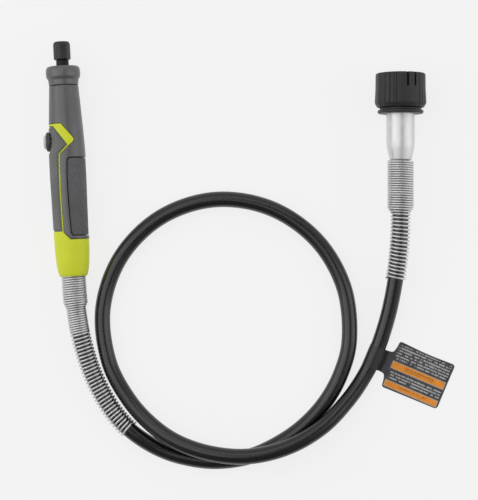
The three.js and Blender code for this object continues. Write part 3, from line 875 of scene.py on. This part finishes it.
def skin(loops, depth, edge=0.35, below=False, step=1.1, relief=None, rows=(), creases=()):
    """Verts, faces and UVs of a shell piece from laid-out loops.

    Depth gives its thickness at a place along, relief sinks its surface, rows are further insets of
    points, and below turns it over to the underside.
    """
    insets = (edge * 0.22, edge * 0.5, edge * 0.95, *rows)
    folds = [dense(line, 0.45, closed=False) for line in creases]
    coords, faces, distance = filled([dense(loop, 0.7) for loop in loops], step, insets, folds)

    def at(v, drop):
        x, y = coords[v]
        angle = x / UNROLL
        radius = body_radius(y) - drop
        up = radius * math.cos(angle)
        return (radius * math.sin(angle), y, -up if below else up)

    def top(v):
        more = relief(*coords[v], distance[v]) if relief else 0.0
        return at(v, fillet(distance[v], edge) + more)

    verts, made, uvs = thick(coords, faces, top, lambda v: at(v, depth(coords[v][1])))
    return verts, outward(verts, made), uvs


def joined(*parts):
    """Several sets of verts, faces and UVs as one."""
    verts, faces, uvs = [], [], []
    for more_verts, more_faces, more_uvs in parts:
        base = len(verts)
        verts += more_verts
        faces += [tuple(v + base for v in face) for face in more_faces]
        uvs += more_uvs
    return verts, faces, uvs


def screw_hole(x, y, radius=1.9):
    """A laid-out loop that is round as seen from above."""
    return [
        flat_from_top(x + radius * math.cos(a), y + radius * math.sin(a))
        for a in (2 * math.pi * k / 28 for k in range(28))
    ]


SIDE = EDGE - SEAM / 2
SHELL_START, COVER_END = 0.6, 115.6
PAD_GAP = 0.38
CORE_DEPTH = 4.2
BUTTON_HOLE = 6.1


def wall(y):
    return WALL


def lip(y):
    """The housing's thickness: down to the ferrule at the tail, and a plain wall beyond it."""
    return body_radius(y) - 7.75 if y < 13 else WALL + 0.4


def shell_piece(name, skin_parts, look, node):
    verts, faces, uvs = skin_parts
    return add_mesh(name, verts, faces, HAND, look, "handpiece", [node], uvs, 50)


def covers(accent, pad):
    """Everything grey between the accent line, the pad and the nose cap."""
    accent_edge = from_top(shifted(accent, -SEAM))
    pad_edge = from_top(shifted(pad, PAD_GAP))
    outline = (
        [(SIDE, accent_edge[0][1]), (SIDE, pad_edge[0][1])]
        + pad_edge
        + [(SIDE, pad_edge[-1][1]), (SIDE, COVER_END), (-SIDE, COVER_END), (-SIDE, accent_edge[-1][1])]
        + list(reversed(accent_edge))
    )
    shell_piece("cover_upper", skin([outline], wall), GREY, "cover_top")
    holes = [screw_hole(*spot) for spot in SCREWS[:2]]
    shell_piece("cover_lower", skin([outline, *holes], wall, below=True), GREY, "cover_bottom")


def housings(accent, panel):
    """Tail sleeve and accent line at the surface, and the core beneath the covers, coloured with painted
    shade.
    """
    panel_edge = from_top(shifted(panel, -SEAM / 2))
    accent_top = from_top(accent)
    outline = (
        [(-SIDE, SHELL_START), (SIDE, SHELL_START), (SIDE, accent_top[0][1])]
        + accent_top
        + [(-SIDE, accent_top[-1][1]), (-SIDE, panel_edge[-1][1])]
        + list(reversed(panel_edge))
        + [(-SIDE, panel_edge[0][1])]
    )
    core = [(-SIDE, 12), (SIDE, 12), (SIDE, 112), (-SIDE, 112)]
    for name, node, below in (
        ("housing_upper", "housing_top", False),
        ("housing_lower", "housing_bottom", True),
    ):
        holes = [screw_hole(*spot) for spot in SCREWS[2:]] if below else []
        shown = skin([outline, *holes], lip, edge=0.2, below=below)
        under = skin(
            [core], lambda y: CORE_DEPTH, edge=0.1, below=below, step=3,
            relief=lambda x, y, distance: WALL + 0.25,
        )
        housing = shell_piece(name, joined(shown, under), LIME, node)
        # The core's faces take the near-black painted-shade material.
        housing.data.materials.append(PAINTED_CORE_SHADE)
        for polygon in housing.data.polygons[len(shown[1]):]:
            polygon.material_index = 1


# The arrow-shaped recess round the button: a point ahead, a point behind, and a flat top and bottom.
RECESS_Y = 81.8
RECESS_TIP = 11.15
RECESS_END = 6.8
RECESS_SLANT = 0.978  # how fast its slanting sides close in on the point
RECESS_LEAN = 0.715  # the cosine that goes with that slant
RECESS_DEPTH, RECESS_WALL = 0.55, 0.4
BORDER_DEPTH, BORDER_WIDTH, BORDER_WALL = 0.5, 1.25, 0.3


def sunk(x, y, distance):
    """Depth of the panel's surface: its sunk border and the recess round the button."""
    across = abs(x + EDGE)
    along = abs(y - RECESS_Y)
    inward = min((RECESS_TIP - across - along * RECESS_SLANT) * RECESS_LEAN, RECESS_END - along)
    recess = RECESS_DEPTH * min(1.0, max(0.0, inward / RECESS_WALL))
    border = BORDER_DEPTH * min(1.0, max(0.0, (BORDER_WIDTH - distance) / BORDER_WALL))
    near_button = math.hypot(across, y - BUTTON_Y) < 7.8
    return recess if near_button else max(recess, border)


def recess_outline(inward):
    """The recess's outline at a distance inside its rim, back to its first point."""
    end = RECESS_END - inward
    tip = RECESS_TIP - inward / RECESS_LEAN
    shoulder = tip - RECESS_SLANT * end
    half = [(tip, 0), (shoulder, end), (-shoulder, end)]
    arrow = half + [(-across, -along) for across, along in half] + half[:1]
    return [(across - EDGE, RECESS_Y + along) for across, along in arrow]


def button_hole():
    out = []
    for k in range(40):
        a = 2 * math.pi * k / 40
        y = BUTTON_Y + BUTTON_HOLE * math.cos(a)
        out.append((-EDGE + math.asin(BUTTON_HOLE * math.sin(a) / body_radius(y)) * UNROLL, y))
    return out


def button_side_panel(panel):
    """The panel, wrapped from the top round to the underside."""
    half = from_top(shifted(panel, SEAM / 2))
    wrapped = half + mirrored(half, -EDGE)
    parts = skin(
        [wrapped, button_hole()], wall, edge=0.3, step=0.7, relief=sunk, rows=(0.62, 0.93, 1.27),
        creases=[recess_outline(0.0), recess_outline(RECESS_WALL)],
    )
    shell_piece("panel_skin", parts, PANEL, "button_panel")


def facet_line(y):
    """Where the pad's slanting crease lies, in laid-out coordinates."""
    return 5.9 + (63 - y) * 0.07


def facet(x, y, distance):
    """The pad lies below the cover, and falls away on one side of its crease."""
    across = min(x, 2 * EDGE - x)
    return 0.3 + min(0.7, max(0.0, facet_line(y) - across) * 0.18)


def far_side_pad(pad):
    half = from_top(pad)
    slant = [(facet_line(y), y) for y in (27.5, 69.5)]
    folds = [slant, [(2 * EDGE - x, y) for x, y in slant]]
    parts = skin([half + mirrored(half, EDGE)], wall, edge=0.55, step=0.7, relief=facet, creases=folds)
    shell_piece("grip_skin", parts, PAD, "grip_pad")


accent_line = eased(ACCENT_OUTLINE, 0.6)
panel_line = eased(PANEL_OUTLINE, 0.7)
pad_line = eased(PAD_OUTLINE, 0.5)
covers(accent_line, pad_line)
housings(accent_line, panel_line)
button_side_panel(panel_line)
far_side_pad(pad_line)

# ---------- handpiece turned parts
lathe(
    "nose_ring",
    [
        (7.35, 115.95, 0.1), (8.85, 115.95, 0.3), (9.0, 117.6, 0.8), (9.15, 119.4, 0.9),
        (10.15, 120.7, 1.0), (10.38, 122.6, 1.0), (10.32, 125.6, 1.3), (9.4, 127.35, 1.3),
        (4.2, 127.35, 0.4), (4.2, 124.3, 0.1), (7.35, 124.3, 0.1),
    ],
    HAND, GREY, "handpiece", ["nose_cap"],
)

SPINDLE_PROFILE = [
    (0, 22, 0), (2.7, 22, 0.3), (2.7, 34.2, 0), (2.2, 34.2, 0), (2.2, 35.6, 0), (2.7, 35.6, 0),
    (2.7, 122.5, 0), (3.8, 122.5, 0.2), (3.8, 131.0, 0.2),
]
for ridge in range(7):
    low = 131.2 + ridge * 0.9
    SPINDLE_PROFILE += [(3.15, low, 0.08), (3.45, low + 0.4, 0.12)]
SPINDLE_PROFILE += [(3.2, 137.3, 0.2), (2.7, 137.5, 0.1), (2.7, 125.3, 0), (0, 125.3, 0)]
lathe("spindle_fine", SPINDLE_PROFILE, HAND, SPINDLE_STEEL, "spindle", ["spindle"], 96)


HEX_FLAT = 4.72  # from the axis to a flat of the collet nut
HEX_TURN = math.radians(8)


def hex_radius(radius, along, angle):
    """A hexagon whose corners are turned down to the radius; the bore stays round."""
    if radius < 4.2:
        return radius
    turn = (angle - HEX_TURN + math.pi / 6) % (math.pi / 3) - math.pi / 6
    flat = HEX_FLAT / math.cos(turn)
    sharp = 10.0
    return (radius**-sharp + flat**-sharp) ** (-1 / sharp) * 1.005


lathe(
    "collet_nut_fine",
    [
        (3.7, 131.4, 0.2), (4.75, 131.4, 0.2), (5.45, 132.1, 0.3), (5.45, 140.7, 0.5), (4.6, 142.1, 0.5),
        (4.3, 142.3, 0.2), (2.5, 142.3, 0.25), (2.55, 142.0, 0.1), (3.55, 138.0, 0), (3.7, 138.0, 0),
    ],
    HAND, BLACKENED, "collet_nut", ["collet_nut"], 240, hex_radius,
)


def cut_boxes(piece, boxes, place):
    """Cuts boxes out of a piece and applies the cut; boxes are (size, centre, turn about Y)."""
    for size, centre, turn in boxes:
        mesh = bpy.data.meshes.new("cutter")
        half = [value / 2 for value in size]
        corners = [
            Vector((sx * half[0], sy * half[1], sz * half[2]))
            for sx in (-1, 1) for sy in (-1, 1) for sz in (-1, 1)
        ]
        spin = Matrix.Rotation(turn, 4, "Y")
        points = [tuple(place @ (spin @ (corner + Vector(centre)))) for corner in corners]
        quads = [(0, 1, 3, 2), (4, 6, 7, 5), (0, 4, 5, 1), (2, 3, 7, 6), (0, 2, 6, 4), (1, 5, 7, 3)]
        mesh.from_pydata(points, [], quads)
        cutter = bpy.data.objects.new("cutter", mesh)
        scene.collection.objects.link(cutter)
        cut = piece.modifiers.new("cut", "BOOLEAN")
        cut.operation = "DIFFERENCE"
        cut.solver = "EXACT"
        cut.object = cutter
        bpy.context.view_layer.update()
        graph = bpy.context.evaluated_depsgraph_get()
        made = bpy.data.meshes.new_from_object(piece.evaluated_get(graph))
        piece.modifiers.remove(cut)
        piece.data = made
        bpy.data.objects.remove(cutter)
    piece.data.shade_smooth()
    piece.data.set_sharp_from_angle(angle=math.radians(38))
    return piece


cut_boxes(
    lathe(
        "collet_fine",
        [
            (1.6, 126, 0.1), (2.4, 126, 0.2), (2.4, 137.7, 0.2), (3.0, 138.9, 0.2),
            (2.2, 141.7, 0.15), (1.6, 141.7, 0.15),
        ],
        HAND, STEEL, "collet", ["collet"], 72,
    ),
    [((0.5, 15, 8), (0, 137.5, 0), 0), ((0.5, 15, 8), (0, 137.5, 0), math.pi / 2)],
    HAND,
)

lathe(
    "ferrule_fine",
    [
        (5.0, -5, 0.1), (5.45, -5, 0.15), (5.45, 12, 0), (8.2, 12, 0.2), (8.2, 15, 0.2), (5.35, 15, 0),
        (5.35, 20, 0.1), (5.0, 20, 0.1),
    ],
    HAND, STEEL, "handpiece", ["tail_ferrule"], 64,
)

# Button parts are turned about Y, then laid over to point out of the -X side.
TO_SIDE = Matrix.Translation((0, BUTTON_Y, 0)) @ Matrix.Rotation(math.radians(90), 4, "Z")
lathe(
    "button_cap",
    [
        (0, 13.45, 0), (2.6, 13.3, 0.6), (3.5, 13.75, 0.5), (4.25, 13.1, 0.6), (4.4, 12.2, 0.4),
        (4.4, 10.7, 0.2), (1.5, 10.7, 0), (1.5, 9.3, 0), (0.85, 9.3, 0), (0.85, 4.6, 0.1), (0, 4.6, 0),
    ],
    HAND, BUTTON, "lock_button", ["lock_button"], 96, move=TO_SIDE,
)
lathe(
    "bezel_ring",
    [(4.75, 12.0, 0.15), (5.6, 12.0, 0.35), (5.9, 11.3, 0.2), (5.9, 9.6, 0.1), (4.75, 9.6, 0.1)],
    HAND, BEZEL, "handpiece", ["button_bezel"], 96, move=TO_SIDE,
)


def return_spring():
    """Small coil under the button's cap."""
    verts, uvs = [], []
    steps, sides, turns, radius = 70, 8, 2.5, 0.22
    seat, top = 7.95, 10.2
    for i in range(steps + 1):
        angle = turns * 2 * math.pi * i / steps
        along = seat + (top - seat) * i / steps
        spoke = Vector((math.sin(angle), 0, math.cos(angle)))
        for k in range(sides):
            a = 2 * math.pi * k / sides
            spot = spoke * (2.6 + radius * math.cos(a)) + Vector((0, along + radius * math.sin(a), 0))
            verts.append(tuple(TO_SIDE @ spot))
            uvs.append((a * radius, i * 0.2))
    faces = outward(verts, tube_faces(steps + 1, sides))
    add_mesh(
        "return_spring", verts, faces, HAND, SPRING, "handpiece", ["lock_spring"], uvs, 60
    )


return_spring()

for number, (screw_x, screw_y) in enumerate(SCREWS, 1):
    stand = Matrix.Translation((screw_x, screw_y, 0)) @ Matrix.Rotation(math.radians(-90), 4, "X")
    screw = lathe(
        f"screw_{number}",
        [
            (0, 5.95, 0), (1.1, 5.9, 0.3), (1.55, 5.5, 0.25), (1.55, 4.6, 0.1), (0.8, 4.5, 0),
            (0.8, -2.4, 0.2), (0, -2.6, 0),
        ],
        HAND, BLACKENED, "handpiece", [f"housing_screw_{number}"], 40, move=stand,
    )
    cross = HAND @ Matrix.Translation((screw_x, screw_y, 0))
    cut_boxes(screw, [((2.0, 0.45, 2.0), (0, 0, -6.3), 0), ((0.45, 2.0, 2.0), (0, 0, -6.3), 0)], cross)

# ---------- coupling
lathe(
    "ferrule_tube",
    [
        (5.05, 47.5, 0.2), (6.4, 47.5, 0.3), (6.75, 48.2, 0.5), (8.5, 56.1, 2.2), (8.55, 82.8, 0),
        (10.7, 82.8, 0.2), (10.7, 84.9, 0.3), (4.9, 84.9, 0.3), (4.9, 75.6, 0), (3.6, 75.6, 0),
        (3.6, 65, 0), (5.05, 65, 0),
    ],
    COUPLING, POLISHED, "handpiece", ["coupling_tube"], 160,
)
lathe(
    "collar_ring",
    [
        (8.7, 75.5, 0.2), (13.2, 75.5, 0.3), (13.75, 76.0, 0.4), (13.8, 77.1, 0.4), (13.3, 77.7, 0.3),
        (12.4, 77.7, 0.2), (12.4, 78.75, 0.2), (8.7, 78.75, 0.1),
    ],
    COUPLING, NUT_PLASTIC, "handpiece", ["coupling_collar"],
)

# Degrees from the top line; the grooves and the facet repeat every half turn.
GROOVES = [42.7, 52.4, 62.8, 119, 137.5, 150, 159.7, 165.9]
FACET = (119, 137.5)
SLOT_TURNS = (11.8, 30.6, 191.8, 210.6)


def nut_radius(radius, along, angle):
    """Fine grooves and one flat facet in each half of the nut's outside."""
    if radius < 13.2:
        return radius
    degrees = math.degrees(angle) % 180
    depth = 0.0
    for groove in GROOVES:
        away = min(abs(degrees - groove), 180 - abs(degrees - groove))
        depth = max(depth, 0.5 * max(0.0, 1 - away / 1.5))
    if FACET[0] < degrees < FACET[1]:
        middle = math.radians((FACET[0] + FACET[1]) / 2)
        half = math.radians((FACET[1] - FACET[0]) / 2)
        depth = max(depth, radius * (1 - math.cos(half) / math.cos(math.radians(degrees) - middle)))
    fade = min(1.0, max(0.0, (radius - 13.2) / 1.2))
    return radius - depth * fade


NUT_PROFILE = [
    (8.9, 79.0, 0.2), (13.4, 79.0, 0.4), (14.0, 79.3, 0.3), (15.55, 81.6, 0.9), (15.35, 85.5, 0.8),
    (15.1, 90, 1.0), (15.0, 99.0, 0.5), (14.3, 99.7, 0.6), (11.8, 99.7, 0.3), (11.4, 99.2, 0.2),
    (11.4, 98.2, 0),
]
for ridge in range(5):
    top = 98.0 - ridge * 1.9
    NUT_PROFILE += [(11.4, top, 0.1), (10.85, top - 0.55, 0.15)]
    NUT_PROFILE += [(10.85, top - 0.85, 0.15), (11.4, top - 1.4, 0.1)]
NUT_PROFILE += [(11.4, 82.4, 0.3), (8.9, 82.4, 0.2)]
cut_boxes(
    lathe(
        "nut_fine", NUT_PROFILE, COUPLING, NUT_PLASTIC, "coupling_nut", ["coupling_nut"],
        360, nut_radius,
    ),
    [((1.3, 9.6, 5), (0, 96.0, 14.6), math.radians(turn)) for turn in SLOT_TURNS],
    COUPLING,
)
lathe(
    "tip_fine",
    [
        (0, 72.3, 0), (2.2, 72.3, 0), (2.2, 67, 0.1), (2.9, 67, 0.2), (2.9, 75.2, 0.2), (1.6, 75.2, 0),
        (1.6, 98.8, 0.1), (1.1, 99.6, 0.2), (0, 99.6, 0),
    ],
    COUPLING, STEEL, "drive_tip", ["drive_tip"], 64,
)
lathe(
    "bush_fine",
    [(1.95, 76, 0.1), (4.6, 76, 0.1), (4.6, 84.2, 0.3), (2.2, 84.4, 0.3), (1.95, 84.1, 0.1)],
    COUPLING, BRASS, "handpiece", ["tip_bush"], 72,
)


# ---------- surface and light
def floor():
    mesh = bpy.data.meshes.new("surface")
    half = 3.0
    level = -0.00005  # just clear of the shaft's underside
    corners = [(-half, -half, level), (half, -half, level), (half, half, level), (-half, half, level)]
    mesh.from_pydata(corners, [], [(0, 1, 2, 3)])
    material, tree, shader = nodes_of("pale_surface")
    soft = noise(tree, coordinates(tree), 6, 2)
    link(
        tree,
        blend_colour(tree, ranged(tree, soft, 0, 1), (0.118, 0.118, 0.118), (0.122, 0.122, 0.122)),
        shader.inputs["Base Color"],
    )
    shader.inputs["Emission Color"].default_value = (1, 1, 1, 1)
    shader.inputs["Emission Strength"].default_value = 0.80
    shader.inputs["Roughness"].default_value = 0.9
    shader.inputs["Specular IOR Level"].default_value = 0.1
    mesh.materials.append(material)
    plane = bpy.data.objects.new("surface", mesh)
    scene.collection.objects.link(plane)


def studio():
    """A bright room with a grey ceiling patch, a darker skyline and a darker near side."""
    world = bpy.data.worlds.new("studio")
    scene.world = world
    world.use_nodes = True
    tree = world.node_tree
    split = tree.nodes.new("ShaderNodeSeparateXYZ")
    link(tree, tree.nodes.new("ShaderNodeTexCoord").outputs["Generated"], split.inputs[0])
    ramp = tree.nodes.new("ShaderNodeValToRGB")
    link(tree, split.outputs[2], ramp.inputs[0])
    stops = [(0.0, 0.9), (0.1, 0.7), (0.3, 0.85), (0.6, 0.9), (0.8, 0.5), (0.9, 0.26), (1.0, 0.2)]
    ramp.color_ramp.elements.remove(ramp.color_ramp.elements[1])
    for i, (place, value) in enumerate(stops):
        stop = ramp.color_ramp.elements[0] if i == 0 else ramp.color_ramp.elements.new(place)
        stop.position = place
        stop.color = (value, value, value, 1)
    background = tree.nodes["Background"]
    link(tree, ramp.outputs[0], background.inputs["Color"])
    link(tree, ranged(tree, split.outputs[1], 0.2, 0.8, -0.75, -0.15), background.inputs["Strength"])


def softbox(name, place, size, power):
    """A rectangular light that faces the middle of the surface."""
    light = bpy.data.lights.new(name, "AREA")
    light.shape = "RECTANGLE"
    light.size, light.size_y = size
    light.energy = power
    lamp = bpy.data.objects.new(name, light)
    lamp.location = place
    lamp.rotation_euler = (-Vector(place)).to_track_quat("-Z", "Y").to_euler()
    scene.collection.objects.link(lamp)


floor()
studio()
softbox("left_box", (-0.62, 0.05, 0.80), (0.85, 1.6), 5.0)
softbox("right_box", (0.92, 0.0, 0.52), (0.6, 1.6), 2.8)
softbox("far_box", (0.0, 0.62, 0.95), (0.9, 0.2), 0.9)
scene.view_settings.view_transform = "Standard"
